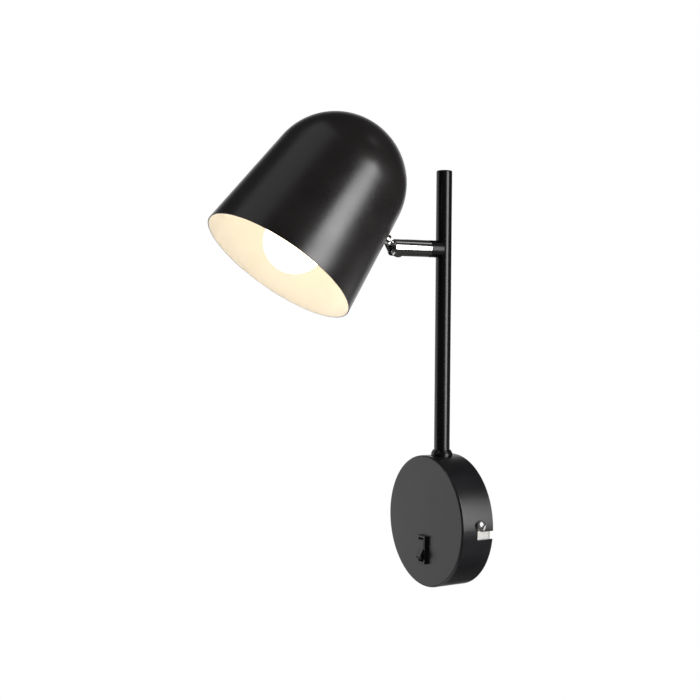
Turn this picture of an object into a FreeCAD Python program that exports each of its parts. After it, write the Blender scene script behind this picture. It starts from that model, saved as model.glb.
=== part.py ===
import FreeCAD, Part
import math
import os

# Bedside wall reading lamp. Millimetres. The origin is the centre of the round canopy on the
# wall plane, +Z is up and the lamp stands out from the wall along -Y.
# The head is built in two frames of its own. In the shade frame the shade is upright, with the
# origin in the middle of its rim and +Y towards the rod. In the neck frame the origin is the
# tilt pivot and -Y points from the pivot to the shade's wall.

V = FreeCAD.Vector
ORIGIN = V(0, 0, 0)
X_AXIS = V(1, 0, 0)
Y_AXIS = V(0, 1, 0)
Z_AXIS = V(0, 0, 1)
FORWARD = V(0, -1, 0)

# ---- Driving dimensions ----
canopy_diameter = 100.0
canopy_depth = 27.5
canopy_wall = 1.0
canopy_edge = 1.5

strap_width = 20.0
strap_thickness = 1.5
ear_reach = 18.0
ear_clearance = 0.35
wall_slot_spacing = 60.0
wall_slot_length = 12.0
wall_slot_width = 5.0

side_screw_diameter = 4.0
side_screw_head = 8.0
side_screw_head_height = 3.0
side_screw_recess = 4.4
side_screw_length = 8.0
side_screw_from_wall = 11.5
side_screw_rise = 3.0
notch_height = 6.0
notch_drop = 4.6

rod_diameter = 12.0
rod_wall = 1.0
rod_from_wall = 12.0
rod_top = 267.0
rod_cap_height = 2.0
rod_cap_spigot = 6.0
collar_diameter = 16.4
collar_rise = 3.8
collar_shoulder = 2.0
collar_skirt = 4.0
nipple_wall = 1.45
nipple_depth = 14.0
nipple_grip = 10.0
nipple_nut_flats = 14.0
saddle_height = 3.0
saddle_radius = 8.0
lock_washer_height = 1.0
lock_washer_radius = 7.4
rod_nut_height = 4.0

arm_height = 207.0
boss_diameter = 13.0
boss_back = 15.6
boss_front = 25.5
spindle_end = 40.0
barrel_diameter = 13.0
barrel_end_radius = 2.4
barrel_chamfer = 0.6
spindle_room = 0.4
swivel_washer_thickness = 0.3
barrel_past_pivot = 6.7
barrel_slot_width = 4.8
barrel_slot_depth = 13.2
cable_way = 8.4

pivot_from_wall = 53.6
pivot_screw_diameter = 3.0
pivot_head_diameter = 5.5
pivot_head_height = 2.0
pivot_head_wall = 1.9
pivot_socket_flats = 2.5
tongue_thickness = 4.0
tongue_eye_diameter = 9.4
tongue_neck_height = 4.8
stem_diameter = 8.0
stem_start = 9.8
flange_diameter = 10.0
flange_thickness = 2.0
stub_diameter = 6.0
stub_bore = 3.8
stub_thread_end = 1.5
stub_washer_radius = 5.6
stub_washer_height = 1.0
stub_nut_flats = 10.0
stub_nut_height = 4.0
cable_turn = 14.6
cable_entry = (7.2, -5.2)

shade_rim_diameter = 118.0
shade_height = 128.0
shade_dome_radius = 51.35
shade_wall = 0.9
joint_height = 71.5
joint_reach = 17.2
head_tilt = 36.95

bulb_diameter = 45.0
bulb_length = 78.0
bulb_glass_wall = 0.9
bulb_cap_diameter = 13.8
bulb_cap_length = 19.5
bulb_contact_length = 27.0
holder_diameter = 27.0
holder_mouth = 50.0
holder_top = 84.0
holder_neck = 4.0
holder_nut_height = 3.5
sleeve_length = 16.0
contact_wall = 2.0
bracket_width = 14.0
bracket_thickness = 1.2
bracket_foot = 8.5
bracket_past_axis = 10.0

switch_height = 21.3
switch_width = 9.8
switch_proud = 2.8
switch_centre_drop = 21.5
switch_housing_width = 8.6
switch_housing_height = 18.8
switch_housing_depth = 13.0
rocker_width = 6.3
rocker_throw = 28.0
ridge_place = 5.0
valley_height = 4.0
trunnion_radius = 1.0
blade_width = 4.8
blade_thickness = 0.8
blade_root = 4.0
blade_reach = 6.5
blade_hole = 1.6
blade_spacing = 11.0

block_pitch = 8.0
block_height = 16.0
block_depth = 11.0
block_web = 3.0
block_screw_diameter = 2.5
block_screw_head = 4.4
block_screw_head_height = 1.6
pole_tube_radius = 2.0
pole_tube_bore = 2.7
pole_tube_depth = 6.0
clamp_place = 4.4
clamp_diameter = 2.5
clamp_sink = 2.0
earth_screw_diameter = 4.0
earth_screw_head = 7.6
earth_screw_head_height = 2.6
lug_thickness = 0.8
lug_ring_radius = 4.2
crimp_radius = 1.6
crimp_bore = 2.0
crimp_length = 5.0
lead_diameter = 1.9
lead_bend = 5.0
rod_lead_offset = 1.25
joint_cable_diameter = 2.2

fit = 0.05
washer_play = 0.02
running = 0.3

# ---- Sizes that follow from them ----
canopy_radius = canopy_diameter / 2
canopy_inner = canopy_radius - canopy_wall
ear_face = math.sqrt(canopy_inner ** 2 - (strap_width / 2) ** 2) - ear_clearance
rod_radius = rod_diameter / 2
rod_bore = rod_radius - rod_wall
collar_top = canopy_radius + collar_rise
nipple_radius = rod_bore - fit
nipple_bore = nipple_radius - nipple_wall
barrel_radius = barrel_diameter / 2
barrel_back = boss_front + swivel_washer_thickness
barrel_front = pivot_from_wall + barrel_past_pivot
slot_bottom = barrel_front - barrel_slot_depth
pivot = V(0, -pivot_from_wall, arm_height)
dome_centre = shade_height - shade_dome_radius
spindle_bore = nipple_radius + fit
earth_place = -2.3 * block_pitch
tube_depth = strap_thickness + pole_tube_depth
rod_lead_y = 1.0 - rod_from_wall
head_cable_start = joint_reach + 11.5
sleeve_radius = bulb_cap_diameter / 2 + 0.75
contact_floor = bulb_length + 1.6
cap_start = bulb_length - bulb_contact_length
rocker_tilt = math.radians(rocker_throw / 2)
ridge_height = valley_height + ridge_place * math.tan(rocker_tilt)
rocker_pivot_depth = canopy_depth + switch_proud + 0.2 - valley_height * math.cos(rocker_tilt)
rocker_pivot = V(0, -rocker_pivot_depth, -switch_centre_drop)
well_half_height = switch_housing_height / 2 - 0.2
well_floor = rocker_pivot_depth - 3.5
housing_back = canopy_depth - canopy_wall - switch_housing_depth
rim_radius = shade_rim_diameter / 2


def taper_and_tangent():
    """Slope of the shade's straight side, and the height where it meets the dome without a corner."""
    to_rim = math.atan2(dome_centre, rim_radius)
    opening = math.acos(shade_dome_radius / math.hypot(rim_radius, dome_centre))
    slope = opening - to_rim
    return slope, dome_centre + shade_dome_radius * math.sin(slope)


taper, tangent_height = taper_and_tangent()
tangent_radius = shade_dome_radius * math.cos(taper)


def shade_radius(height, inset=0.0):
    """Radius of the shade's straight side at a height, or of a face inset from it."""
    return rim_radius - height * math.tan(taper) - inset / math.cos(taper)


# ---- Helpers ----
def outline(lift, start, *steps):
    """Closed wire. A step is the end of a line, or the middle and the end of an arc."""
    edges = []
    here = start
    for step in steps + (start,):
        if isinstance(step[0], tuple):
            middle, there = step
            edges.append(Part.Arc(lift(here), lift(middle), lift(there)).toShape())
        else:
            there = step
            if there != here:
                edges.append(Part.LineSegment(lift(here), lift(there)).toShape())
        here = there
    return Part.Wire(edges)


def turned(start, *steps):
    """Solid of revolution about Z from an outline of (radius, height) points."""
    face = Part.Face(outline(lambda p: V(p[0], 0, p[1]), start, *steps))
    return face.revolve(ORIGIN, Z_AXIS, 360)


def across(width, start, *steps):
    """Slab centred on X = 0 from an outline of (y, z) points."""
    face = Part.Face(outline(lambda p: V(-width / 2, p[0], p[1]), start, *steps))
    return face.extrude(V(width, 0, 0))


def rod_of(radius, start, direction, length):
    return Part.makeCylinder(radius, length, start, direction)


def tube_of(radius, bore, start, direction, length):
    return rod_of(radius, start, direction, length).cut(rod_of(bore, start, direction, length))


def box_between(low, high):
    return Part.makeBox(high[0] - low[0], high[1] - low[1], high[2] - low[2], V(*low))


def hexagon(flats, height):
    """Hexagonal prism on the XY plane, standing along +Z, with its points on +X and -X."""
    corner = flats / math.sqrt(3)
    points = [V(corner * math.cos(math.radians(60 * i)), corner * math.sin(math.radians(60 * i)), 0)
              for i in range(6)]
    return Part.Face(Part.makePolygon(points + points[:1])).extrude(V(0, 0, height))


def hex_nut(flats, bore, height):
    """Nut with its outer corners chamfered by the intersection with a low cone at each end."""
    corner = flats / math.sqrt(3)
    bevel = (corner - flats / 2) * 0.6
    barrel = turned((bore, 0), (flats / 2, 0), (corner, bevel), (corner, height - bevel),
                    (flats / 2, height), (bore, height))
    return hexagon(flats, height).common(barrel)


def pan_screw(diameter, head, head_height, length, recess):
    """Screw that stands along +Z: its shank below Z = 0, its low cross-recessed head above."""
    edge = head_height * 0.45
    point = 0.3
    crown = head * 0.36
    body = turned((0, -length), (diameter / 2 - point, -length), (diameter / 2, point - length),
                  (diameter / 2, 0), (head / 2, 0), (head / 2, edge), (crown, head_height), (0, head_height))
    arm = recess / 2
    half_slot = recess * 0.12
    for angle in (0, 90):
        blade = box_between((-arm, -half_slot, edge), (arm, half_slot, head_height + 1))
        body = body.cut(turned_about_z(blade, angle))
    return body


def turned_about_z(shape, angle):
    copy = shape.copy()
    copy.rotate(ORIGIN, Z_AXIS, angle)
    return copy


def aimed(shape, direction, place):
    """Copy of a shape that stands along +Z, turned to a direction and moved to a place."""
    copy = shape.copy()
    copy.Placement = FreeCAD.Placement(place, FreeCAD.Rotation(Z_AXIS, direction))
    return copy


def moved(shape, x=0, y=0, z=0):
    copy = shape.copy()
    copy.translate(V(x, y, z))
    return copy


def about_y(shape):
    """Copy turned half a turn about the canopy's axis."""
    copy = shape.copy()
    copy.rotate(ORIGIN, Y_AXIS, 180)
    return copy


def lead(name, diameter, points, bend):
    """Round lead along straight runs joined by tangent arcs of radius bend, or less on short runs."""
    edges = []
    here = points[0]
    tightest = bend
    for before, corner, after in zip(points, points[1:], points[2:]):
        back = before - corner
        on = after - corner
        run = min(back.Length, on.Length)
        half_turn = (math.pi - back.getAngle(on)) / 2
        radius = min(bend, 0.45 * run / math.tan(half_turn))
        tightest = min(tightest, radius)
        cut_back = radius * math.tan(half_turn)
        back.normalize()
        on.normalize()
        first = corner + back * cut_back
        last = corner + on * cut_back
        inward = (back + on).normalize()
        middle = corner + inward * (radius / math.cos(half_turn) - radius)
        edges.append(Part.LineSegment(here, first).toShape())
        edges.append(Part.Arc(first, middle, last).toShape())
        here = last
    edges.append(Part.LineSegment(here, points[-1]).toShape())
    length = sum(edge.Length for edge in edges)
    start_normal = points[1] - points[0]
    section = Part.Wire([Part.makeCircle(diameter / 2, points[0], start_normal)])
    solid = Part.Wire(edges).makePipeShell([section], True, False)
    share = solid.Volume / (math.pi * diameter ** 2 / 4 * length)
    print(f"{name}: length {length:.1f}, tightest bend {tightest:.2f}, volume share {share:.4f}")
    return solid


def from_neck(shape):
    """From the neck frame to the lamp."""
    copy = shape.copy()
    copy.rotate(ORIGIN, X_AXIS, math.degrees(taper) - head_tilt)
    copy.translate(pivot)
    return copy


def from_shade(shape):
    """From the shade frame to the lamp."""
    copy = shape.copy()
    copy.translate(V(0, -shade_radius(joint_height) - joint_reach * math.cos(taper),
                     -joint_height - joint_reach * math.sin(taper)))
    copy.rotate(ORIGIN, X_AXIS, -head_tilt)
    copy.translate(pivot)
    return copy


def neck_point(reach, rise):
    """Point of the neck frame's X = 0 plane, in the lamp: reach towards the shade, rise above the neck."""
    angle = math.radians(head_tilt) - taper
    return pivot + V(0, -reach * math.cos(angle) + rise * math.sin(angle),
                     reach * math.sin(angle) + rise * math.cos(angle))


# ---- Canopy and wall bracket ----
def canopy():
    outer = canopy_radius
    front = canopy_depth
    bend = 1 - math.sqrt(0.5)
    cup = turned(
        (outer, 0), (outer, front - canopy_edge),
        ((outer - canopy_edge * bend, front - canopy_edge * bend), (outer - canopy_edge, front)),
        (0, front), (0, front - canopy_wall), (canopy_inner, front - canopy_wall), (canopy_inner, 0))
    cup = aimed(cup, FORWARD, ORIGIN)
    cup = cup.cut(rod_of(spindle_bore, V(0, -rod_from_wall, canopy_radius / 2), Z_AXIS, canopy_radius))
    half_width = switch_housing_width / 2 + fit
    half_height = switch_housing_height / 2 + fit
    switch_window = box_between((-half_width, -front - 1, -switch_centre_drop - half_height),
                                (half_width, 1 - front + canopy_wall, half_height - switch_centre_drop))
    cup = cup.cut(switch_window)
    slot = bayonet_slot()
    return cup.cut(slot).cut(about_y(slot))


def bayonet_slot():
    """J-shaped slot at +X: a notch open to the wall, and a leg up to the side screw."""
    reach = side_screw_diameter / 2 + 0.25
    inner = canopy_radius * 0.8
    outer = canopy_radius + 1
    deep = side_screw_from_wall + reach
    low = -notch_drop - notch_height / 2
    notch = box_between((inner, -deep, low), (outer, 1, low + notch_height))
    leg = box_between((inner, -deep, low), (outer, reach - side_screw_from_wall, side_screw_rise))
    end = rod_of(reach, V(inner, -side_screw_from_wall, side_screw_rise), X_AXIS, outer - inner)
    return notch.fuse(leg).fuse(end).removeSplitter()


def wall_bracket():
    """Strap with both ends bent forward as ears, two wall slots, and tapped holes."""
    def raised(p):
        return V(p[0], p[1], -strap_width / 2)
    inside = ear_face - strap_thickness
    strap = Part.Face(outline(
        raised, (-ear_face, 0), (ear_face, 0), (ear_face, -ear_reach), (inside, -ear_reach),
        (inside, -strap_thickness), (-inside, -strap_thickness), (-inside, -ear_reach),
        (-ear_face, -ear_reach))).extrude(V(0, 0, strap_width))
    inner_bend = strap_thickness * 0.6
    for radius, x, y in ((inner_bend + strap_thickness, ear_face, 0), (inner_bend, inside, -strap_thickness)):
        edges = [e for e in strap.Edges if upright_at(e, x, y)]
        strap = strap.makeFillet(radius, edges)
    tips = [e for e in strap.Edges
            if abs(e.CenterOfMass.y + ear_reach) < 0.01 and abs(e.Length - strap_thickness) < 0.01]
    strap = strap.makeFillet(strap_width / 6, tips)
    strap = strap.cut(wall_slot(1)).cut(wall_slot(-1))
    ear_hole = rod_of(side_screw_diameter / 2 + fit, V(inside - 1, -side_screw_from_wall, side_screw_rise),
                      X_AXIS, strap_thickness + 2)
    strap = strap.cut(ear_hole).cut(about_y(ear_hole))
    holes = [(x, block_screw_diameter) for x in block_screw_places()] + [(earth_place, earth_screw_diameter)]
    for x, diameter in holes:
        strap = strap.cut(rod_of(diameter / 2 + fit, V(x, 1, 0), FORWARD, strap_thickness + 2))
    return strap


def upright_at(edge, x, y):
    centre = edge.CenterOfMass
    upright = abs(edge.Length - strap_width) < 0.01
    return upright and abs(abs(centre.x) - x) < 0.01 and abs(centre.y - y) < 0.01


def wall_slot(side):
    half = wall_slot_length / 2 - wall_slot_width / 2
    centre = side * wall_slot_spacing / 2
    top = strap_thickness + 1
    slot = box_between((centre - half, -top, -wall_slot_width / 2), (centre + half, 1, wall_slot_width / 2))
    for x in (centre - half, centre + half):
        slot = slot.fuse(rod_of(wall_slot_width / 2, V(x, 1, 0), FORWARD, top + 1))
    return slot.removeSplitter()


def canopy_screws():
    screw = pan_screw(side_screw_diameter, side_screw_head, side_screw_head_height, side_screw_length,
                      side_screw_recess)
    right = aimed(screw, X_AXIS, V(canopy_radius + fit, -side_screw_from_wall, side_screw_rise))
    return Part.makeCompound([right, about_y(right)])


# ---- Terminal block and earth ----
def block_screw_places():
    return (-block_pitch / 2, block_pitch / 2)


def terminal_block():
    """Strip of three insulated poles joined by thin webs, bored for the metal tubes and their screws."""
    half = block_height / 2
    back = strap_thickness
    face = back + block_depth
    half_web = half * 0.55
    half_pole = block_pitch * 0.43
    crown_radius = 0.8
    screw_way = clamp_diameter / 2 + 4 * fit
    head_way = block_screw_head / 2 + 4 * fit
    block = box_between((-block_pitch, -back - block_web, -half_web), (block_pitch, -back, half_web))
    for x in pole_places():
        pole = box_between((x - half_pole, -face, -half), (x + half_pole, -back, half))
        crown = [e for e in pole.Edges if abs(e.CenterOfMass.y + face) < 0.01]
        block = block.fuse(pole.makeFillet(crown_radius, crown))
    for x in pole_places():
        low_end = V(x, -tube_depth, -half - 1)
        block = block.cut(rod_of(pole_tube_radius + fit, low_end, Z_AXIS, block_height + 2))
        for z in (-clamp_place, clamp_place):
            block = block.cut(rod_of(screw_way, V(x, -tube_depth, z), FORWARD, block_depth))
    for x in block_screw_places():
        block = block.cut(rod_of(block_screw_diameter / 2 + fit, V(x, 0, 0), FORWARD, face + 1))
        block = block.cut(rod_of(head_way, V(x, -back - block_web, 0), FORWARD, block_depth))
    return block.removeSplitter()


def pole_places():
    return (-block_pitch, 0.0, block_pitch)


def terminal_tubes():
    length = block_height - 2.0
    screw_hole = clamp_diameter / 2 + fit
    tubes = []
    for x in pole_places():
        tube = tube_of(pole_tube_radius, pole_tube_bore / 2, V(x, -tube_depth, -length / 2), Z_AXIS, length)
        for z in (-clamp_place, clamp_place):
            tube = tube.cut(rod_of(screw_hole, V(x, -tube_depth, z), FORWARD, pole_tube_radius + 1))
        tubes.append(tube)
    return Part.makeCompound(tubes)


def slotted_screw(diameter, head, head_height, length):
    """Cheese-head screw that stands along +Z with its head above Z = 0."""
    body = turned((0, -length), (diameter / 2, -length), (diameter / 2, 0), (head / 2, 0),
                  (head / 2, head_height), (0, head_height))
    blade = box_between((-head, -head * 0.1, head_height * 0.5), (head, head * 0.1, head_height + 1))
    return body.cut(blade)


def clamp_screws():
    head_height = 1.2
    top = strap_thickness + block_depth - clamp_sink
    screw = slotted_screw(clamp_diameter, clamp_diameter, head_height, top - tube_depth - 4 * fit)
    return Part.makeCompound([aimed(screw, FORWARD, V(x, -top, z))
                              for x in pole_places() for z in (-clamp_place, clamp_place)])


def block_screws():
    seat = strap_thickness + block_web
    screw = slotted_screw(block_screw_diameter, block_screw_head, block_screw_head_height, seat - 8 * fit)
    return Part.makeCompound([aimed(screw, FORWARD, V(x, -seat, 0)) for x in block_screw_places()])


def earth_lug():
    """Ring lug on the strap with its crimp barrel upwards."""
    face = -strap_thickness
    hole = earth_screw_diameter / 2 + fit
    crimp_start = lug_ring_radius + 1.4
    ring = tube_of(lug_ring_radius, hole, V(earth_place, face, 0), FORWARD, lug_thickness)
    half_tab = crimp_radius - 0.1
    crimp_foot = V(earth_place, face - crimp_radius, crimp_start)
    tab = box_between((earth_place - half_tab, face - lug_thickness, lug_ring_radius * 0.8),
                      (earth_place + half_tab, face, crimp_start + 0.4))
    crimp = tube_of(crimp_radius, crimp_bore / 2, crimp_foot, Z_AXIS, crimp_length)
    return ring.fuse(tab).fuse(crimp).removeSplitter()


def earth_screw():
    screw = pan_screw(earth_screw_diameter, earth_screw_head, earth_screw_head_height,
                      strap_thickness + lug_thickness, earth_screw_head / 2)
    return aimed(screw, FORWARD, V(earth_place, -strap_thickness - lug_thickness - fit, 0))


# ---- Rod and its fixing ----
def rod_tube():
    tube = tube_of(rod_radius, rod_bore, V(0, -rod_from_wall, collar_top - collar_shoulder), Z_AXIS,
                   rod_top - rod_cap_height - collar_top + collar_shoulder)
    window = rod_of(cable_way / 2, V(0, -rod_from_wall, arm_height), FORWARD, rod_diameter)
    return tube.cut(window)


def rod_cap():
    """Rounded plug on the rod's top, with its spigot inside the tube."""
    foot = rod_top - rod_cap_height
    edge = rod_cap_height * 0.5
    spigot_end = foot - rod_cap_spigot
    cap = turned((0, spigot_end), (rod_bore - fit, spigot_end), (rod_bore - fit, foot), (rod_radius, foot),
                 (rod_radius, rod_top - edge), (rod_radius - edge * 0.35, rod_top - edge * 0.35),
                 (rod_radius - edge, rod_top), (0, rod_top))
    return moved(cap, y=-rod_from_wall)


def rod_collar():
    """Collar with a saddle foot on the canopy, bored for the rod and for the nipple below it."""
    radius = collar_diameter / 2
    seat = collar_top - collar_shoulder
    low = canopy_radius - collar_skirt
    edge = 0.3
    lip = 0.9
    collar = turned((spindle_bore, low), (radius, low), (radius, seat - edge), (radius - edge, seat),
                    (rod_radius + lip, collar_top), (rod_radius + fit, collar_top), (rod_radius + fit, seat),
                    (spindle_bore, seat))
    collar = moved(collar, y=-rod_from_wall)
    return collar.cut(rod_of(canopy_radius + fit, V(0, 1, 0), FORWARD, canopy_depth + 2))


def rod_nipple():
    """Hollow threaded pin that hangs in the rod's foot and reaches into the canopy."""
    low = canopy_inner - nipple_depth
    return tube_of(nipple_radius, nipple_bore, V(0, -rod_from_wall, low), Z_AXIS,
                   collar_top + nipple_grip - low)


def saddle_washer():
    """Washer whose top follows the inside of the canopy."""
    base = canopy_inner - saddle_height
    washer = tube_of(saddle_radius, spindle_bore, V(0, -rod_from_wall, base), Z_AXIS, 2 * saddle_height)
    inside = rod_of(canopy_inner - fit, V(0, 1, 0), FORWARD, canopy_depth + 2)
    return washer.common(inside)


def lock_washer():
    base = canopy_inner - saddle_height - lock_washer_height - fit
    return tube_of(lock_washer_radius, spindle_bore, V(0, -rod_from_wall, base), Z_AXIS, lock_washer_height)


def rod_nut():
    base = canopy_inner - saddle_height - lock_washer_height - rod_nut_height - 2 * fit
    return moved(hex_nut(nipple_nut_flats, spindle_bore, rod_nut_height), y=-rod_from_wall, z=base)


# ---- Swivel ----
def branch_boss():
    """Short cylinder on the rod's front, notched round the rod and bored for the spindle."""
    boss = rod_of(boss_diameter / 2, V(0, -boss_back, arm_height), FORWARD, boss_front - boss_back)
    notch_start = V(0, -rod_from_wall, arm_height - boss_diameter)
    boss = boss.cut(rod_of(rod_radius + washer_play, notch_start, Z_AXIS, boss_diameter * 2))
    return boss.cut(rod_of(spindle_bore, V(0, 0, arm_height), FORWARD, boss_front + 1))


def swivel_spindle():
    start = rod_from_wall + rod_radius + 2 * running
    return tube_of(nipple_radius, nipple_bore, V(0, -start, arm_height), FORWARD,
                   spindle_end - start)


def swivel_washer():
    start = V(0, -boss_front - washer_play, arm_height)
    return tube_of(barrel_radius - barrel_chamfer, spindle_bore + fit, start, FORWARD,
                   swivel_washer_thickness - 2 * washer_play)


def swivel_barrel():
    """Bright barrel: counterbored at the back for the spindle, forked at the front for the tongue."""
    length = barrel_front - barrel_back
    bend = 1 - math.sqrt(0.5)
    end = barrel_end_radius
    chamfer = barrel_chamfer
    floor = spindle_end + spindle_room - barrel_back
    in_slot = length - barrel_slot_depth + 1
    body = turned(
        (spindle_bore, 0), (barrel_radius - chamfer, 0), (barrel_radius, chamfer),
        (barrel_radius, length - end),
        ((barrel_radius - end * bend, length - end * bend), (barrel_radius - end, length)),
        (0, length), (0, in_slot), (cable_way / 2, in_slot), (cable_way / 2, floor), (spindle_bore, floor))
    body = aimed(body, FORWARD, V(0, -barrel_back, arm_height))
    half = barrel_slot_width / 2
    fork = box_between((-half, -barrel_front - 1, arm_height - barrel_radius - 1),
                       (half, -slot_bottom, arm_height + barrel_radius + 1))
    body = body.cut(fork)
    through = rod_of(pivot_screw_diameter / 2 + fit, pivot - X_AXIS * barrel_diameter, X_AXIS,
                     barrel_diameter + head_seat() + running)
    counterbore = rod_of(pivot_head_diameter / 2 + 2 * fit, pivot - X_AXIS * barrel_diameter, X_AXIS,
                         barrel_diameter - head_seat())
    return body.cut(through).cut(counterbore)


def head_seat():
    """Distance from the barrel's axis to the face under the pivot screw's head."""
    return barrel_radius - pivot_head_wall


def pivot_screw():
    """Cap screw from -X across the fork, with a hexagon socket."""
    length = 2 * head_seat()
    radius = pivot_screw_diameter / 2
    edge = 0.3
    screw = turned((0, -length), (radius, -length), (radius, 0), (pivot_head_diameter / 2, 0),
                   (pivot_head_diameter / 2, pivot_head_height - edge),
                   (pivot_head_diameter / 2 - edge, pivot_head_height), (0, pivot_head_height))
    socket = moved(hexagon(pivot_socket_flats, pivot_head_height), z=pivot_head_height * 0.4)
    return aimed(screw.cut(socket), -X_AXIS, pivot - X_AXIS * (head_seat() + fit))


def friction_washers():
    """Thin washers that fill the fork on both sides of the tongue."""
    thick = (barrel_slot_width - tongue_thickness) / 2 - 2 * washer_play
    washers = []
    for inner_face in (tongue_thickness / 2 + washer_play, -barrel_slot_width / 2 + washer_play):
        washers.append(tube_of(tongue_eye_diameter / 2 - running, pivot_screw_diameter / 2 + fit,
                               pivot + X_AXIS * inner_face, X_AXIS, thick))
    return Part.makeCompound(washers)


# ---- Head: tongue, shade and their fixing ----
def shade_body(inset):
    """The full space inside the shade's outer surface, or inside a surface inset from it."""
    dome = shade_dome_radius - inset
    angle = (math.pi / 2 + taper) / 2
    middle = (dome * math.cos(angle), dome_centre + dome * math.sin(angle))
    side = (dome * math.cos(taper), dome_centre + dome * math.sin(taper))
    return turned((0, 0), (shade_radius(0, inset), 0), side, (middle, (0, dome_centre + dome)))


def shade():
    """Bell of thin sheet with one hole for the stub."""
    inner = shade_dome_radius - shade_wall
    angle = (math.pi / 2 + taper) / 2
    outer_middle = (shade_dome_radius * math.cos(angle), dome_centre + shade_dome_radius * math.sin(angle))
    inner_middle = (inner * math.cos(angle), dome_centre + inner * math.sin(angle))
    bell = turned(
        (rim_radius, 0), (tangent_radius, tangent_height), (outer_middle, (0, shade_height)),
        (0, shade_height - shade_wall),
        (inner_middle, (inner * math.cos(taper), dome_centre + inner * math.sin(taper))),
        (shade_radius(0, shade_wall), 0))
    hole = rod_of(stub_diameter / 2 + 2 * fit, ORIGIN, FORWARD, joint_reach + 5)
    return from_shade(bell).cut(from_neck(hole))


def tilt_tongue():
    """One turned and milled piece: eye, flat neck, round stem, flange and hollow threaded stub."""
    half = tongue_neck_height / 2
    flat_end = stem_start + 2
    cone = 1.4
    edge = 0.4
    neck = box_between((-tongue_thickness / 2, -flat_end, -half), (tongue_thickness / 2, 0, half))
    eye = rod_of(tongue_eye_diameter / 2, V(-tongue_thickness / 2, 0, 0), X_AXIS, tongue_thickness)
    flange_back = joint_reach + 2
    stub_end = leg_inner() + stub_washer_height + stub_nut_height + stub_thread_end
    stem_radius = stem_diameter / 2
    flange_start = joint_reach - flange_thickness
    stem = turned((0, stem_start - cone), (half - edge, stem_start - cone), (stem_radius, stem_start + edge),
                  (stem_radius, flange_start - edge), (flange_diameter / 2, flange_start),
                  (flange_diameter / 2, flange_back), (0, flange_back))
    stem = from_neck(aimed(stem, FORWARD, ORIGIN)).cut(from_shade(shade_body(0)))
    flat = from_neck(neck.fuse(eye))
    stub = from_neck(rod_of(stub_diameter / 2, V(0, -flange_start, 0), FORWARD, stub_end - flange_start))
    body = stem.fuse(flat).fuse(stub)
    bore = from_neck(rod_of(stub_bore / 2, V(0, -cable_turn, 0), FORWARD, stub_end))
    ball = Part.makeSphere(stub_bore / 2, neck_point(cable_turn, 0))
    entry_start = neck_point(*cable_entry)
    entry_line = neck_point(cable_turn, 0) - entry_start
    entry = rod_of(stub_bore / 2 - running, entry_start, entry_line, entry_line.Length)
    body = body.cut(bore).cut(ball).cut(entry)
    hole = rod_of(pivot_screw_diameter / 2 + fit, pivot - X_AXIS * tongue_thickness, X_AXIS,
                  tongue_thickness * 2)
    return body.cut(hole).removeSplitter()


def leg_gap():
    """Play between a flat leg and the curved inside of the shade, at the middle of the leg."""
    inner = shade_radius(joint_height, shade_wall)
    return inner - math.sqrt(inner ** 2 - (bracket_width / 2) ** 2) + 4 * fit


def leg_inner():
    """Distance from the tilt pivot to the bracket leg's inner face, along the stub."""
    return joint_reach + shade_wall + leg_gap() + bracket_thickness


def lampholder_bracket():
    """Bent strip: a leg flat on the shade's wall, and a plate across to the shade's axis."""
    inward = (-math.cos(taper), -math.sin(taper))
    along = (-math.sin(taper), math.cos(taper))
    wall = (shade_radius(joint_height), joint_height)

    def leg_point(depth, rise):
        return (wall[0] + inward[0] * depth + along[0] * rise, wall[1] + inward[1] * depth + along[1] * rise)

    outer = shade_wall + leg_gap()
    inner = outer + bracket_thickness
    plate = holder_top + holder_neck + fit
    plate_end = -bracket_past_axis
    foot = -bracket_foot

    def rise_to(depth, height):
        return (height - wall[1] - inward[1] * depth) / along[1]

    top = plate + bracket_thickness
    outer_corner = leg_point(outer, rise_to(outer, top))
    inner_corner = leg_point(inner, rise_to(inner, plate))
    strip = across(bracket_width, leg_point(outer, foot), outer_corner, (plate_end, top),
                   (plate_end, plate), inner_corner, leg_point(inner, foot))
    for (y, z), radius in ((outer_corner, bracket_thickness * 5), (inner_corner, bracket_thickness * 4)):
        corner = V(0, y, z)
        edges = [e for e in strip.Edges if (e.CenterOfMass - corner).Length < 0.01]
        strip = strip.makeFillet(radius, edges)
    corners = [e for e in strip.Edges if abs(e.CenterOfMass.y - plate_end) < 0.01
               and abs(e.Length - bracket_thickness) < 0.01]
    strip = strip.makeFillet(bracket_width * 0.4, corners)
    strip = strip.cut(rod_of(spindle_bore, V(0, 0, plate - 1), Z_AXIS, bracket_thickness + 2))
    stub_hole = rod_of(stub_diameter / 2 + fit, ORIGIN, FORWARD, leg_inner() + 1)
    return from_shade(strip).cut(from_neck(stub_hole))


def stub_washer():
    start = leg_inner() + fit
    return from_neck(tube_of(stub_washer_radius, stub_diameter / 2 + fit, V(0, -start, 0), FORWARD,
                             stub_washer_height - fit))


def stub_nut():
    start = leg_inner() + stub_washer_height + fit
    nut = hex_nut(stub_nut_flats, stub_diameter / 2 + fit, stub_nut_height)
    return from_neck(aimed(nut, FORWARD, V(0, -start, 0)))


# ---- Lampholder and bulb, along the shade's axis ----
def lampholder_body():
    """Insulating cup with a mouth below, a bore for the contact sleeve and a neck for the nipple."""
    outer = holder_diameter / 2
    bore = sleeve_radius + fit
    neck = 8.0
    body = turned(
        (bore, holder_mouth), (outer - 0.8, holder_mouth), (outer, holder_mouth + 0.8),
        (outer, holder_top - 9), (outer - 2.5, holder_top - 3), (outer - 4, holder_top), (neck, holder_top),
        (neck, holder_top + holder_neck), (spindle_bore, holder_top + holder_neck),
        (spindle_bore, contact_floor + contact_wall), (0, contact_floor + contact_wall), (0, contact_floor),
        (bore, contact_floor))
    return from_shade(body)


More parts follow.
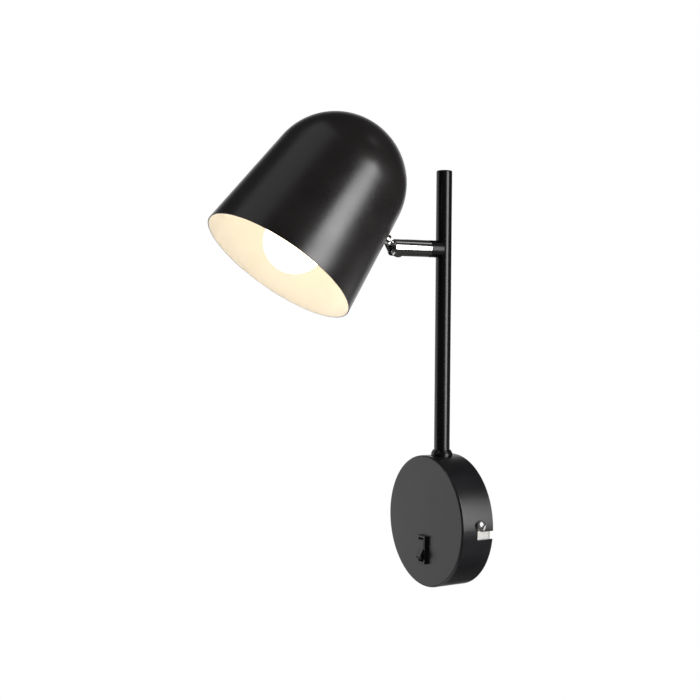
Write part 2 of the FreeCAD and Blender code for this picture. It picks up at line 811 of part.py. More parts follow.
def lampholder_sleeve():
    """Contact sleeve of thin sheet round the bulb's cap."""
    wall = 0.5
    start = V(0, 0, holder_mouth + 3)
    return from_shade(tube_of(sleeve_radius, sleeve_radius - wall, start, Z_AXIS, sleeve_length))


def lampholder_contact():
    """Bent spring strip under the holder's floor that reaches down to the bulb's tip."""
    seat = contact_floor - fit
    thick = 0.4
    dip = bulb_length + 0.3
    strip = across(4.0, (-6, seat - thick), (-6, seat), (-1.5, seat), (2.0, dip + thick), (4.5, dip + thick),
                   (4.5, dip), (1.8, dip), (-1.7, seat - thick))
    return from_shade(strip)


def lampholder_nipple():
    start = contact_floor + contact_wall + fit
    end = holder_top + holder_neck + bracket_thickness + holder_nut_height + contact_wall
    return from_shade(tube_of(nipple_radius, nipple_bore, V(0, 0, start), Z_AXIS, end - start))


def lampholder_nut():
    seat = holder_top + holder_neck + bracket_thickness + 2 * fit
    return from_shade(moved(hex_nut(nipple_nut_flats, spindle_bore, holder_nut_height), z=seat))


def bulb_glass():
    """Hollow globe that narrows to a neck inside its cap; its hidden inside is a chain of cones."""
    radius = bulb_diameter / 2
    shoulder = math.radians(44)
    neck = bulb_cap_diameter / 2 - 0.5
    leave = (radius * math.cos(shoulder), radius + radius * math.sin(shoulder))
    middle = (radius * math.cos(math.radians(-20)), radius + radius * math.sin(math.radians(-20)))
    globe = turned((0, 0), (middle, leave), (neck + 0.9, cap_start - 2), (neck + 0.5, cap_start),
                   (neck, cap_start), (neck, cap_start + 4), (0, cap_start + 4))
    inside = radius - bulb_glass_wall
    chain = [(inside * math.cos(math.radians(a)), radius + inside * math.sin(math.radians(a)))
             for a in range(-90, 45, 18)]
    throat = neck - 0.5
    hollow = turned(*chain, (throat, cap_start - 2), (throat, cap_start + 5), (0, cap_start + 5))
    return from_shade(globe.cut(hollow))


def bulb_cap():
    """Contact shell of the bulb."""
    radius = bulb_cap_diameter / 2
    wall = 0.45
    end = cap_start + bulb_cap_length
    cap = turned((radius - wall, cap_start), (radius, cap_start), (radius, end - 3), (radius - 2.4, end),
                 (radius - 2.4 - wall, end), (radius - wall, end - 3.2))
    return from_shade(cap)


def bulb_insulator():
    end = cap_start + bulb_cap_length
    radius = bulb_cap_diameter / 2 - 2.4
    plug = turned((0, end - 2), (radius - 0.5, end - 2), (radius - 0.5, end), (radius, end),
                  (2.4, bulb_length - 1.2), (0, bulb_length - 1.2))
    return from_shade(plug)


def bulb_tip():
    low = bulb_length - 1.2
    return from_shade(turned((0, low), (2.4, low), (2.4, low + 0.3), (1.0, bulb_length), (0, bulb_length)))


# ---- Rocker switch ----
def switch_rocker():
    """Rocker with two ridges and a valley between, on two short trunnions."""
    end_reach = well_half_height - 0.35
    bulge_place = (ridge_place + end_reach) / 2 + 0.7
    bulge_height = ridge_height * 0.78

    def side(sign):
        return [(sign * end_reach * 0.97, 1.4), (sign * bulge_place, bulge_height),
                (sign * ridge_place, ridge_height)]

    def upright(p):
        return V(-rocker_width / 2, -p[1], p[0])
    right, left = side(1), side(-1)
    face = outline(upright, (-3.0, -2.0), (3.0, -2.0), (end_reach * 0.9, -0.3),
                   right[0], (right[1], right[2]), (0.0, valley_height), left[2], (left[1], left[0]),
                   (-end_reach * 0.9, -0.3))
    rocker = Part.Face(face).extrude(V(rocker_width, 0, 0))
    ridges = [e for e in rocker.Edges if abs(abs(e.CenterOfMass.z) - ridge_place) < 0.01
              and abs(e.Length - rocker_width) < 0.01]
    rocker = rocker.makeFillet(0.5, ridges)
    reach = switch_housing_width / 2 - fit
    rocker = rocker.fuse(rod_of(trunnion_radius, V(-reach, 0, 0), X_AXIS, 2 * reach))
    rocker.rotate(ORIGIN, X_AXIS, -rocker_throw / 2)
    rocker.translate(rocker_pivot)
    return rocker.removeSplitter()


def switch_frame():
    """Bezel and housing in one moulding: a well for the rocker, and a snap lug above and below."""
    z = -switch_centre_drop
    bezel = box_between((-switch_width / 2, -canopy_depth - switch_proud, z - switch_height / 2),
                        (switch_width / 2, -canopy_depth - fit, z + switch_height / 2))
    rim = [e for e in bezel.Edges if abs(e.CenterOfMass.y + canopy_depth + switch_proud) < 0.01]
    bezel = bezel.makeFillet(0.5, rim)
    half_width = switch_housing_width / 2
    half_height = switch_housing_height / 2
    housing = box_between((-half_width, -canopy_depth - 1, z - half_height),
                          (half_width, -housing_back, z + half_height))
    frame = bezel.fuse(housing)
    for sign in (1, -1):
        wedge_start = z + sign * half_height
        lug = across(4.0, (fit - canopy_depth + canopy_wall, wedge_start),
                     (fit - canopy_depth + canopy_wall, wedge_start + sign * 0.9),
                     (-canopy_depth + canopy_wall + 4.5, wedge_start))
        frame = frame.fuse(lug)
    well_half = rocker_width / 2 + running
    well = box_between((-well_half, -canopy_depth - switch_proud - 1, z - well_half_height),
                       (well_half, -well_floor, z + well_half_height))
    frame = frame.cut(well)
    bearing_start = V(-half_width, -rocker_pivot_depth, z)
    frame = frame.cut(rod_of(trunnion_radius + fit, bearing_start, X_AXIS, switch_housing_width))
    for blade_z in blade_heights():
        frame = frame.cut(blade_at(blade_z, fit))
    return frame.removeSplitter()


def blade_heights():
    return (blade_spacing / 2 - switch_centre_drop, -blade_spacing / 2 - switch_centre_drop)


def blade_at(height, clearance):
    half_thick = blade_thickness / 2 + clearance
    half = blade_width / 2 + clearance
    return box_between((-half, -housing_back - blade_root - clearance, height - half_thick),
                       (half, blade_reach - housing_back, height + half_thick))


def switch_terminals():
    """Flat blades that stand out of the switch's back towards the wall, each with a hole."""
    blades = []
    for height in blade_heights():
        hole = rod_of(blade_hole / 2, V(0, blade_reach - 2.1 - housing_back, height - 2), Z_AXIS, 4)
        blades.append(blade_at(height, 0).cut(hole))
    return Part.makeCompound(blades)


# ---- Leads ----
def rod_run(side, first_points):
    """Lead that goes from the canopy up the rod and out to the end of the spindle."""
    x = side * rod_lead_offset
    return first_points + [V(x, rod_lead_y, canopy_inner - nipple_depth - 6), V(x, rod_lead_y, arm_height),
                           V(x, 0.6 - spindle_end, arm_height)]


def neutral_lead():
    top = block_height / 2
    points = rod_run(-1, [V(0, -tube_depth, top - 1), V(0, -tube_depth, top + 8)])
    return lead("neutral_lead", lead_diameter, points, lead_bend)


def switched_lead():
    low = blade_heights()[1]
    y = 3.4 - housing_back
    side = 2.1 * block_pitch
    points = rod_run(1, [V((blade_width + lead_diameter) / 2, y, low), V(10, y, low), V(side, y, low + 9),
                         V(side, y, block_height / 2 + 4), V(6, rod_lead_y, 24)])
    return lead("switched_lead", lead_diameter, points, lead_bend)


def live_lead():
    high = blade_heights()[0]
    y = 3.4 - housing_back
    x = block_pitch
    points = [V(x, -tube_depth, 1 - block_height / 2), V(x, -tube_depth, -block_height / 2 - 3.5),
              V(x - 1.5, y, high), V(blade_width / 2 + fit, y, high)]
    return lead("live_lead", lead_diameter, points, lead_bend)


def earth_lead():
    top = block_height / 2
    lug_y = -strap_thickness - 1.6
    points = [V(-block_pitch, -tube_depth, top - 1), V(-block_pitch, -tube_depth, top + 8),
              V(earth_place, lug_y - 1.2, top + 12), V(earth_place, lug_y, 10.4 + fit)]
    return lead("earth_lead", lead_diameter, points, lead_bend)


def joint_cable():
    """Short cable from the barrel's bore, under the tongue's eye and through the stem into the shade."""
    points = [V(0, -spindle_end - 0.8, arm_height - 0.8), V(0, 0.6 - slot_bottom, arm_height - 1.3),
              V(0, -slot_bottom - 2.9, arm_height - 5.6), V(0, -pivot_from_wall - 0.4, arm_height - 6.6),
              neck_point(3.0, -6.0), neck_point(*cable_entry), neck_point(cable_turn, 0),
              neck_point(head_cable_start, 0)]
    return lead("joint_cable", joint_cable_diameter, points, lead_bend)


def head_cable():
    """The same cable inside the shade, from the stub to the top of the lampholder."""
    start = neck_point(head_cable_start + fit, 0)
    on = neck_point(head_cable_start + 5, 0)
    places = [V(0, 21.0, holder_top + holder_neck - 4.5), V(0, 15.0, holder_top - 0.2)]
    rest = [from_shade(Part.Vertex(p)).Point for p in places]
    return lead("head_cable", joint_cable_diameter, [start, on] + rest, lead_bend)


PARTS = {
    "wall_bracket": wall_bracket,
    "canopy": canopy,
    "canopy_screws": canopy_screws,
    "terminal_block": terminal_block,
    "terminal_tubes": terminal_tubes,
    "clamp_screws": clamp_screws,
    "block_screws": block_screws,
    "earth_lug": earth_lug,
    "earth_screw": earth_screw,
    "switch_frame": switch_frame,
    "switch_rocker": switch_rocker,
    "switch_terminals": switch_terminals,
    "rod_collar": rod_collar,
    "rod_nipple": rod_nipple,
    "saddle_washer": saddle_washer,
    "lock_washer": lock_washer,
    "rod_nut": rod_nut,
    "rod_tube": rod_tube,
    "rod_cap": rod_cap,
    "branch_boss": branch_boss,
    "swivel_spindle": swivel_spindle,
    "swivel_washer": swivel_washer,
    "swivel_barrel": swivel_barrel,
    "pivot_screw": pivot_screw,
    "friction_washers": friction_washers,
    "tilt_tongue": tilt_tongue,
    "stub_washer": stub_washer,
    "stub_nut": stub_nut,
    "shade": shade,
    "lampholder_bracket": lampholder_bracket,
    "lampholder_body": lampholder_body,
    "lampholder_sleeve": lampholder_sleeve,
    "lampholder_contact": lampholder_contact,
    "lampholder_nipple": lampholder_nipple,
    "lampholder_nut": lampholder_nut,
    "bulb_glass": bulb_glass,
    "bulb_cap": bulb_cap,
    "bulb_insulator": bulb_insulator,
    "bulb_tip": bulb_tip,
    "neutral_lead": neutral_lead,
    "switched_lead": switched_lead,
    "live_lead": live_lead,
    "earth_lead": earth_lead,
    "joint_cable": joint_cable,
    "head_cable": head_cable,
}

os.makedirs("parts", exist_ok=True)
for node, make in PARTS.items():
    shape = make()
    if not shape.isValid():
        print("not valid:", node)
    shape.exportStep(os.path.join("parts", node + ".step"))
    print(f"{node}: {len(shape.Solids)} solid(s), {shape.Volume:.1f} mm3")
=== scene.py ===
import math

import bmesh
import bpy
from mathutils import Matrix, Vector


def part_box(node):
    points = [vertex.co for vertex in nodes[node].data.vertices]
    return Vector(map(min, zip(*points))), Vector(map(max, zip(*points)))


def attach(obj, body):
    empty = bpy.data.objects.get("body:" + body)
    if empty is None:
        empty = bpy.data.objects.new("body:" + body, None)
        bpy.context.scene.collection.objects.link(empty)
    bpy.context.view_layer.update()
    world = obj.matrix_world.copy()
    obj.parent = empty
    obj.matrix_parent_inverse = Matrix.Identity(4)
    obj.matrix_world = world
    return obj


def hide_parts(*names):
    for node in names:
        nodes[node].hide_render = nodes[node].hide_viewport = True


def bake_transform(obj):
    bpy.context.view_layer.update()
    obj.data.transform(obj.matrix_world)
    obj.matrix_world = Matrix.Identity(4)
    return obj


# Bedside wall reading lamp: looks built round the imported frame. Metres, +Z up, the wall is y = 0
# and the lamp stands out from it along -Y.

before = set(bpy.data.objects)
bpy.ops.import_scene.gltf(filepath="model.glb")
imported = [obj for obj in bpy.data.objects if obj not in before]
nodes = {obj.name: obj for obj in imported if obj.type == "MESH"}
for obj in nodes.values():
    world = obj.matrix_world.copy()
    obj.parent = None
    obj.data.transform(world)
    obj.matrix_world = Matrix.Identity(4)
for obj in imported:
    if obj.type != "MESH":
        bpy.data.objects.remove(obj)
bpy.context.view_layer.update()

MM = 0.001
UNMOVED = Matrix.Identity(4)

# ---- Sizes shared with the frame, in millimetres ----
pivot = Vector((0, -53.6, 207.0))
head_tilt = math.radians(36.95)
shade_rim_radius = 59.0
shade_height = 128.0
dome_radius = 51.35
shade_wall = 0.9
joint_height = 71.5
joint_reach = 17.2
dome_centre = shade_height - dome_radius
bulb_radius = 22.5
cap_radius = 6.9
cap_start = 51.0
cap_end = 70.5
rod_from_wall = 12.0
canopy_radius = 50.0
nipple_radius = 4.95
nipple_bore = 3.5
sheath_radius = 1.1
core_radius = 0.95


def shade_taper():
    """Slope of the shade's straight side, which meets the dome without a corner."""
    to_rim = math.atan2(dome_centre, shade_rim_radius)
    return math.acos(dome_radius / math.hypot(shade_rim_radius, dome_centre)) - to_rim


taper = shade_taper()


# ---- Places ----
def shade_frame():
    """From the shade's own frame, upright with its rim at z = 0, to the lamp, in millimetres."""
    wall = shade_rim_radius - joint_height * math.tan(taper)
    shift = Vector((0, -wall - joint_reach * math.cos(taper),
                    -joint_height - joint_reach * math.sin(taper)))
    turn = Matrix.Rotation(-head_tilt, 4, "X")
    return Matrix.Translation(pivot) @ turn @ Matrix.Translation(shift)


def neck_point(reach, rise):
    """Point level with the neck's middle plane: reach towards the shade, rise above the neck."""
    angle = head_tilt - taper
    return pivot + Vector((0, -reach * math.cos(angle) + rise * math.sin(angle),
                           reach * math.sin(angle) + rise * math.cos(angle)))


def standing(direction, place):
    """Frame at a place whose +Z points along a direction."""
    turn = Vector(direction).to_track_quat("Z", "Y").to_matrix().to_4x4()
    return Matrix.Translation(Vector(place)) @ turn


# ---- Mesh helpers: all sizes in millimetres ----
def add_object(name, data):
    made = bpy.data.objects.new(name, data)
    bpy.context.scene.collection.objects.link(made)
    return made


def weld(mesh, sharp):
    """Merges doubled points, turns the normals outward and smooths all but edges over an angle."""
    bm = bmesh.new()
    bm.from_mesh(mesh)
    bmesh.ops.remove_doubles(bm, verts=bm.verts, dist=1e-7)
    bmesh.ops.recalc_face_normals(bm, faces=bm.faces)
    bm.to_mesh(mesh)
    bm.free()
    mesh.polygons.foreach_set("use_smooth", [True] * len(mesh.polygons))
    mesh.set_sharp_from_angle(angle=math.radians(sharp))


def mesh_piece(name, points, faces, place=UNMOVED):
    """Object from points and faces in millimetres, with smooth shading broken at sharp edges."""
    mesh = bpy.data.meshes.new(name)
    mesh.from_pydata([(place @ Vector(p)) * MM for p in points], [], faces)
    weld(mesh, 35)
    return add_object(name, mesh)


def as_mesh(piece):
    """New mesh of a piece as its modifiers or its curve make it."""
    bpy.context.view_layer.update()
    shape = piece.evaluated_get(bpy.context.evaluated_depsgraph_get())
    return bpy.data.meshes.new_from_object(shape)


def arc(centre, radius, start, end, count):
    """Points of an arc in the (radius, height) plane, from a start to an end angle in degrees."""
    angles = [math.radians(start + (end - start) * i / count) for i in range(count + 1)]
    return [(centre[0] + radius * math.cos(a), centre[1] + radius * math.sin(a)) for a in angles]


def steps_between(low, high, count):
    """Evenly spaced numbers from low to high, both ends included."""
    return [low + (high - low) * i / count for i in range(count + 1)]


def lathe(name, profile, place=UNMOVED, count=96, closed=False, wave=None):
    """Surface of revolution about Z. wave(angle, radius, height) may change a point's radius."""
    points = []
    for i in range(count):
        angle = 2 * math.pi * i / count
        for radius, height in profile:
            r = wave(angle, radius, height) if wave and radius > 0 else radius
            points.append((r * math.cos(angle), r * math.sin(angle), height))
    rows = len(profile)
    faces = []
    for i in range(count):
        here, there = i * rows, (i + 1) % count * rows
        for j in range(rows if closed else rows - 1):
            k = (j + 1) % rows
            starts_on_axis, ends_on_axis = profile[j][0] == 0, profile[k][0] == 0
            if starts_on_axis and ends_on_axis:
                continue
            if starts_on_axis:
                faces.append([here + j, there + k, here + k])
            elif ends_on_axis:
                faces.append([here + j, there + j, here + k])
            else:
                faces.append([here + j, there + j, there + k, here + k])
    return mesh_piece(name, points, faces, place)


def cut(piece, cutter):
    """Takes one closed mesh out of another and removes the cutter."""
    boolean = piece.modifiers.new("cut", "BOOLEAN")
    boolean.operation = "DIFFERENCE"
    boolean.solver = "EXACT"
    boolean.object = cutter
    mesh = as_mesh(piece)
    piece.modifiers.clear()
    piece.data = mesh
    mesh.name = piece.name
    bpy.data.objects.remove(cutter)
    mesh.set_sharp_from_angle(angle=math.radians(30))
    return piece


def join(name, pieces):
    """One object from several, with its vertices in the lamp's frame."""
    bm = bmesh.new()
    for piece in pieces:
        bm.from_mesh(piece.data)
    mesh = bpy.data.meshes.new(name)
    bm.to_mesh(mesh)
    bm.free()
    for piece in pieces:
        bpy.data.objects.remove(piece)
    mesh.set_sharp_from_angle(angle=math.radians(30))
    return add_object(name, mesh)


def cable(name, points, radius):
    """Round lead with closed ends along a smooth line through the route's control points."""
    sides = 20
    data = bpy.data.curves.new(name, "CURVE")
    data.dimensions = "3D"
    spline = data.splines.new("NURBS")
    spline.points.add(len(points) - 1)
    for point, place in zip(spline.points, points):
        point.co = (*(Vector(place) * MM), 1)
    spline.order_u = 3
    spline.use_endpoint_u = True
    data.resolution_u = 12
    data.bevel_depth = radius * MM
    data.bevel_resolution = (sides - 4) // 2
    data.use_fill_caps = True
    carrier = add_object(name, data)
    mesh = as_mesh(carrier)
    bpy.data.objects.remove(carrier)
    weld(mesh, 60)
    return add_object(name, mesh)


def thread(pitch, depth, start, end):
    """Helical V groove between two heights, fading out at its ends."""
    def wave(angle, radius, height):
        turn = (height / pitch - angle / (2 * math.pi)) % 1
        groove = depth * (1 - abs(2 * turn - 1))
        fade = min(1, max(0, (height - start) / pitch), max(0, (end - height) / pitch))
        return radius - groove * fade
    return wave


# ---- Materials ----
def connect(links, socket, value):
    """Puts a number on a socket, or links another socket to it."""
    if isinstance(value, bpy.types.NodeSocket):
        links.new(value, socket)
    else:
        socket.default_value = value


class Finish:
    """A procedural material: its nodes are built from the object's own coordinates."""

    def __init__(self, name, colour, roughness, metallic=0.0, specular=0.5):
        self.material = bpy.data.materials.new(name)
        self.material.use_nodes = True
        self.nodes = self.material.node_tree.nodes
        self.links = self.material.node_tree.links
        self.shader = self.nodes["Principled BSDF"]
        self.shader.inputs["Base Color"].default_value = (*colour, 1)
        self.shader.inputs["Roughness"].default_value = roughness
        self.shader.inputs["Metallic"].default_value = metallic
        self.shader.inputs["Specular IOR Level"].default_value = specular
        self.place = self.nodes.new("ShaderNodeTexCoord").outputs["Object"]
        self.height = None

    def node(self, kind, **sockets):
        made = self.nodes.new("ShaderNode" + kind)
        for name, value in sockets.items():
            connect(self.links, made.inputs[name], value)
        return made

    def stretched(self, scale):
        """Object coordinates stretched along the axes."""
        mapping = self.node("Mapping", Vector=self.place)
        mapping.inputs["Scale"].default_value = scale
        return mapping.outputs["Vector"]

    def noise(self, size, detail=3.0, rough=0.5, stretch=None):
        """Noise from 0 to 1 whose features are about size millimetres across."""
        vector = self.stretched(stretch) if stretch else self.place
        made = self.node("TexNoise", Vector=vector, Scale=1 / (size * MM), Detail=detail,
                         Roughness=rough)
        return made.outputs["Fac"]

    def spread(self, value, low, high, start=0.3, end=0.7):
        """A value from 0 to 1 mapped from its middle range to a range of numbers."""
        ends = {"From Min": start, "From Max": end, "To Min": low, "To Max": high}
        return self.node("MapRange", Value=value, **ends).outputs["Result"]

    def maths(self, operation, first, second):
        made = self.nodes.new("ShaderNodeMath")
        made.operation = operation
        for socket, value in zip(made.inputs, (first, second)):
            connect(self.links, socket, value)
        return made.outputs["Value"]

    def blend(self, share, first, second):
        """Colour between two colours. Sockets 6 and 7 and output 2 are the node's colour ones."""
        made = self.nodes.new("ShaderNodeMix")
        made.data_type = "RGBA"
        self.links.new(share, made.inputs["Factor"])
        for socket, value in ((made.inputs[6], first), (made.inputs[7], second)):
            is_linked = isinstance(value, bpy.types.NodeSocket)
            connect(self.links, socket, value if is_linked else (*value, 1))
        return made.outputs[2]

    def clouded(self, share, first, second):
        """Gives the surface two colours, in soft clouds."""
        self.colour(self.blend(self.spread(share, 0, 1), first, second))

    def colour(self, value):
        self.links.new(value, self.shader.inputs["Base Color"])

    def roughness(self, value):
        self.links.new(value, self.shader.inputs["Roughness"])

    def bump(self, value, depth):
        """Adds relief of about depth millimetres to what is there already."""
        made = self.node("Bump", Height=value, Strength=1.0, Distance=depth * MM)
        if self.height:
            self.links.new(self.height, made.inputs["Normal"])
        self.height = made.outputs["Normal"]
        self.links.new(self.height, self.shader.inputs["Normal"])


def painted(name, colour, roughness, specular, peel=0.9, depth=0.004, uneven=0.03):
    """Baked paint: faint orange peel, fine grain, cloudy gloss and a few dust specks."""
    finish = Finish(name, colour, roughness, specular=specular)
    cloud = finish.noise(22, 4)
    grain = finish.noise(0.35, 2)
    specks = finish.noise(0.8, 1)
    tint = finish.blend(finish.spread(cloud, 0, 1), colour, [c * 1.25 + 0.001 for c in colour])
    dust = finish.spread(specks, 0, 0.5, 0.74, 0.78)
    finish.colour(finish.blend(dust, tint, [c * 2 + 0.002 for c in colour]))
    base = finish.spread(cloud, roughness - uneven, roughness + uneven)
    finish.roughness(finish.maths("ADD", base, finish.spread(grain, -uneven / 2, uneven / 2)))
    finish.bump(finish.noise(peel, 2), depth)
    finish.bump(grain, depth * 0.25)
    return finish.material


def white_paint():
    colour = (0.86, 0.85, 0.82)
    finish = Finish("white_paint", colour, 0.5, specular=0.4)
    finish.clouded(finish.noise(30, 3), colour, (0.83, 0.81, 0.77))
    finish.roughness(finish.spread(finish.noise(5, 3), 0.45, 0.56))
    finish.bump(finish.noise(0.8, 2), 0.004)
    return finish.material


def chrome(name, colour, rough):
    """Bright plating with faint turning marks and small hazy patches."""
    finish = Finish(name, colour, rough, metallic=1.0)
    marks = finish.noise(0.25, 2, stretch=(0.1, 1, 0.1))
    haze = finish.noise(4, 4)
    uneven = finish.spread(haze, rough * 0.6, rough * 1.4)
    finish.roughness(finish.maths("ADD", uneven, finish.spread(marks, 0, 0.03)))
    finish.clouded(haze, colour, [c * 0.92 for c in colour])
    finish.bump(marks, 0.0006)
    return finish.material


def zinc():
    """Zinc-plated steel: bluish with faint yellow clouds, rolling marks and fine scratches."""
    finish = Finish("zinc_plate", (0.62, 0.63, 0.65), 0.34, metallic=1.0)
    cloud = finish.noise(9, 5, 0.6)
    rolled = finish.noise(0.5, 3, stretch=(0.06, 1, 1))
    finish.clouded(cloud, (0.60, 0.62, 0.66), (0.66, 0.63, 0.56))
    uneven = finish.spread(cloud, 0.27, 0.4)
    finish.roughness(finish.maths("ADD", uneven, finish.spread(rolled, -0.05, 0.08)))
    finish.bump(rolled, 0.0025)
    finish.bump(finish.noise(0.25, 2), 0.0015)
    return finish.material


def brass():
    finish = Finish("brass", (0.72, 0.52, 0.22), 0.3, metallic=1.0)
    cloud = finish.noise(3, 4)
    finish.clouded(cloud, (0.74, 0.55, 0.25), (0.55, 0.38, 0.17))
    finish.roughness(finish.spread(cloud, 0.22, 0.42))
    finish.bump(finish.noise(0.3, 2), 0.0015)
    return finish.material


def nickel():
    finish = Finish("nickel", (0.66, 0.64, 0.60), 0.25, metallic=1.0)
    cloud = finish.noise(5, 4)
    finish.clouded(cloud, (0.68, 0.66, 0.62), (0.56, 0.53, 0.48))
    finish.roughness(finish.spread(cloud, 0.2, 0.34))
    finish.bump(finish.noise(0.4, 2), 0.001)
    return finish.material


def moulded(name, colour, roughness, grain=0.25, depth=0.002, specular=0.5):
    """Moulded plastic: fine spark grain, faint flow marks and uneven gloss."""
    finish = Finish(name, colour, roughness, specular=specular)
    flow = finish.noise(6, 3, stretch=(1, 1, 0.4))
    finish.clouded(flow, colour, [c * 0.86 for c in colour])
    finish.roughness(finish.spread(flow, roughness - 0.04, roughness + 0.05))
    finish.bump(finish.noise(grain, 2), depth)
    return finish.material


def nylon():
    material = moulded("natural_nylon", (0.80, 0.79, 0.72), 0.42)
    shader = material.node_tree.nodes["Principled BSDF"]
    shader.inputs["Subsurface Weight"].default_value = 0.25
    shader.inputs["Subsurface Radius"].default_value = (1.2 * MM, 1.1 * MM, 0.9 * MM)
    shader.inputs["Subsurface Scale"].default_value = 1.0
    return material


def opal_glass():
    """Lit opal globe: brightest towards its front, a little dimmer at the neck."""
    finish = Finish("opal_glass", (0.95, 0.94, 0.92), 0.12, specular=0.5)
    finish.roughness(finish.spread(finish.noise(6, 3), 0.09, 0.16))
    shader = finish.shader
    cloud = finish.spread(finish.noise(12, 2), 0, 1)
    warm = finish.blend(cloud, (1.0, 0.83, 0.57), (1.0, 0.81, 0.54))
    finish.links.new(warm, shader.inputs["Emission Color"])
    height = finish.node("SeparateXYZ", Vector=finish.place).outputs["Z"]
    at_front, at_neck = 5.6, 3.2
    glow = finish.spread(height, at_front, at_neck, 0.172, 0.212)
    finish.links.new(glow, shader.inputs["Emission Strength"])
    return finish.material


def sheathed(name, colour):
    """Soft PVC: slightly waxy, with faint extrusion lines."""
    finish = Finish(name, colour, 0.45, specular=0.4)
    cloud = finish.noise(5, 3)
    finish.clouded(cloud, colour, [c * 0.8 for c in colour])
    finish.roughness(finish.spread(cloud, 0.4, 0.54))
    finish.bump(finish.noise(0.6, 2), 0.004)
    return finish.material


def earth_sheath():
    """Green lead with yellow stripes along it."""
    finish = Finish("earth_sheath", (0.09, 0.32, 0.05), 0.45, specular=0.4)
    wave = finish.node("TexWave", Vector=finish.place, Scale=180.0, Distortion=1.5)
    wave.wave_type = "BANDS"
    wave.bands_direction = "X"
    stripe = finish.spread(wave.outputs["Fac"], 0, 1, 0.45, 0.55)
    finish.colour(finish.blend(stripe, (0.07, 0.28, 0.05), (0.72, 0.62, 0.04)))
    finish.bump(finish.noise(0.6, 2), 0.004)
    return finish.material


black_canopy = painted("canopy_paint", (0.0085, 0.0085, 0.0100), 0.31, 0.55)
black_rod = painted("rod_paint", (0.0015, 0.0015, 0.0015), 0.27, 0.55,
                    peel=2.5, depth=0.0006, uneven=0.012)
black_shade = painted("shade_paint_outside", (0.0105, 0.0085, 0.0081), 0.29, 0.80)
shade_white = white_paint()
bright = chrome("chrome", (0.80, 0.79, 0.77), 0.06)
dull_chrome = chrome("dull_chrome", (0.50, 0.49, 0.47), 0.16)
plated = zinc()
brass_metal = brass()
cap_nickel = nickel()
switch_plastic = moulded("switch_plastic", (0.012, 0.012, 0.012), 0.22, grain=0.5, depth=0.002)
holder_plastic = moulded("holder_plastic", (0.82, 0.80, 0.75), 0.45)
cap_glass = moulded("cap_insulation", (0.015, 0.013, 0.012), 0.15)
block_nylon = nylon()
opal = opal_glass()
blue_pvc = sheathed("blue_pvc", (0.03, 0.13, 0.45))
brown_pvc = sheathed("brown_pvc", (0.13, 0.055, 0.025))
black_pvc = sheathed("black_pvc", (0.012, 0.012, 0.012))
earth_pvc = earth_sheath()

MATERIAL_OF = {
    "canopy": black_canopy, "rod_collar": black_rod, "rod_tube": black_rod,
    "branch_boss": black_rod, "swivel_barrel": bright, "tilt_tongue": dull_chrome,
    "pivot_screw": dull_chrome, "switch_frame": switch_plastic,
    "switch_rocker": switch_plastic, "switch_terminals": brass_metal,
    "terminal_block": block_nylon, "terminal_tubes": brass_metal,
    "lampholder_body": holder_plastic, "lampholder_sleeve": brass_metal,
    "lampholder_contact": brass_metal, "bulb_insulator": cap_glass,
}
for node, piece in nodes.items():
    for slot in piece.material_slots:
        slot.material = MATERIAL_OF.get(node, plated)


# ---- Pieces that replace plain nodes ----
def finish_piece(piece, body, slot, material, *replaced):
    """Gives a piece its material and body, and lets it take the place of CAD nodes."""
    piece.data.materials.append(material)
    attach(piece, body)
    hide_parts(*replaced)


def make_shade():
    """Spun bell: black outside, a rounded black rim, and white inside from just past the rim."""
    edge, chamfer = 0.28, 0.08
    heights = (0.45, 4, 12, 22, 34, 46, 58, 70)
    outer_rim = shade_rim_radius
    inner_rim = outer_rim - shade_wall / math.cos(taper)
    side = [(outer_rim - z * math.tan(taper), z) for z in heights]
    inner_side = [(inner_rim - z * math.tan(taper), z) for z in reversed(heights)]
    dome_end = math.degrees(taper)
    dome = arc((0, dome_centre), dome_radius, dome_end, 90, 40)
    inner_dome = arc((0, dome_centre), dome_radius - shade_wall, 90, dome_end, 40)
    rim = [(inner_rim + 0.02, edge), (inner_rim + 0.1, chamfer), (inner_rim + edge, 0.0),
           (outer_rim - edge, 0.0), (outer_rim - 0.1, chamfer), (outer_rim - 0.02, edge)]
    outline = side + dome[:-1] + [(0, shade_height)]
    inside = [(0, shade_height - shade_wall)] + inner_dome[1:] + inner_side + rim
    bell = lathe("shade_bell", outline + inside, shade_frame(), count=256, closed=True)
    bell.data.materials.append(black_shade)
    bell.data.materials.append(shade_white)
    # White: the faces that don't look outward, apart from the rim's outer half.
    to_shade = shade_frame().inverted()
    for face in bell.data.polygons:
        centre = to_shade @ (face.center / MM)
        normal = to_shade.to_3x3() @ face.normal
        outward = Vector((centre.x, centre.y, max(0, centre.z - dome_centre)))
        within_rim = outward.length < shade_rim_radius - shade_wall * 0.6
        if within_rim and normal.dot(outward) < 0.2 * outward.length:
            face.material_index = 1
    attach(bell, "head")
    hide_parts("shade")


def make_bulb():
    """Globe that runs into its neck with a small fillet."""
    globe = [(0, 0)] + arc((0, bulb_radius), bulb_radius, -90, 44, 60)[1:]
    radius, height = globe[-1]
    neck = cap_radius + 0.35
    neck_start = (neck + 1.2, cap_start - 3.2)
    straight = [(radius + (neck_start[0] - radius) * t, height + (neck_start[1] - height) * t)
                for t in (0.25, 0.5, 0.75, 1.0)]
    root = [(neck + 0.5, cap_start - 2.0), (neck + 0.1, cap_start - 0.8), (neck, cap_start),
            (cap_radius - 0.6, cap_start), (0, cap_start)]
    glass = lathe("bulb_globe", globe + straight + root, shade_frame(), count=160)
    finish_piece(glass, "bulb", "opal_glass", opal, "bulb_glass")


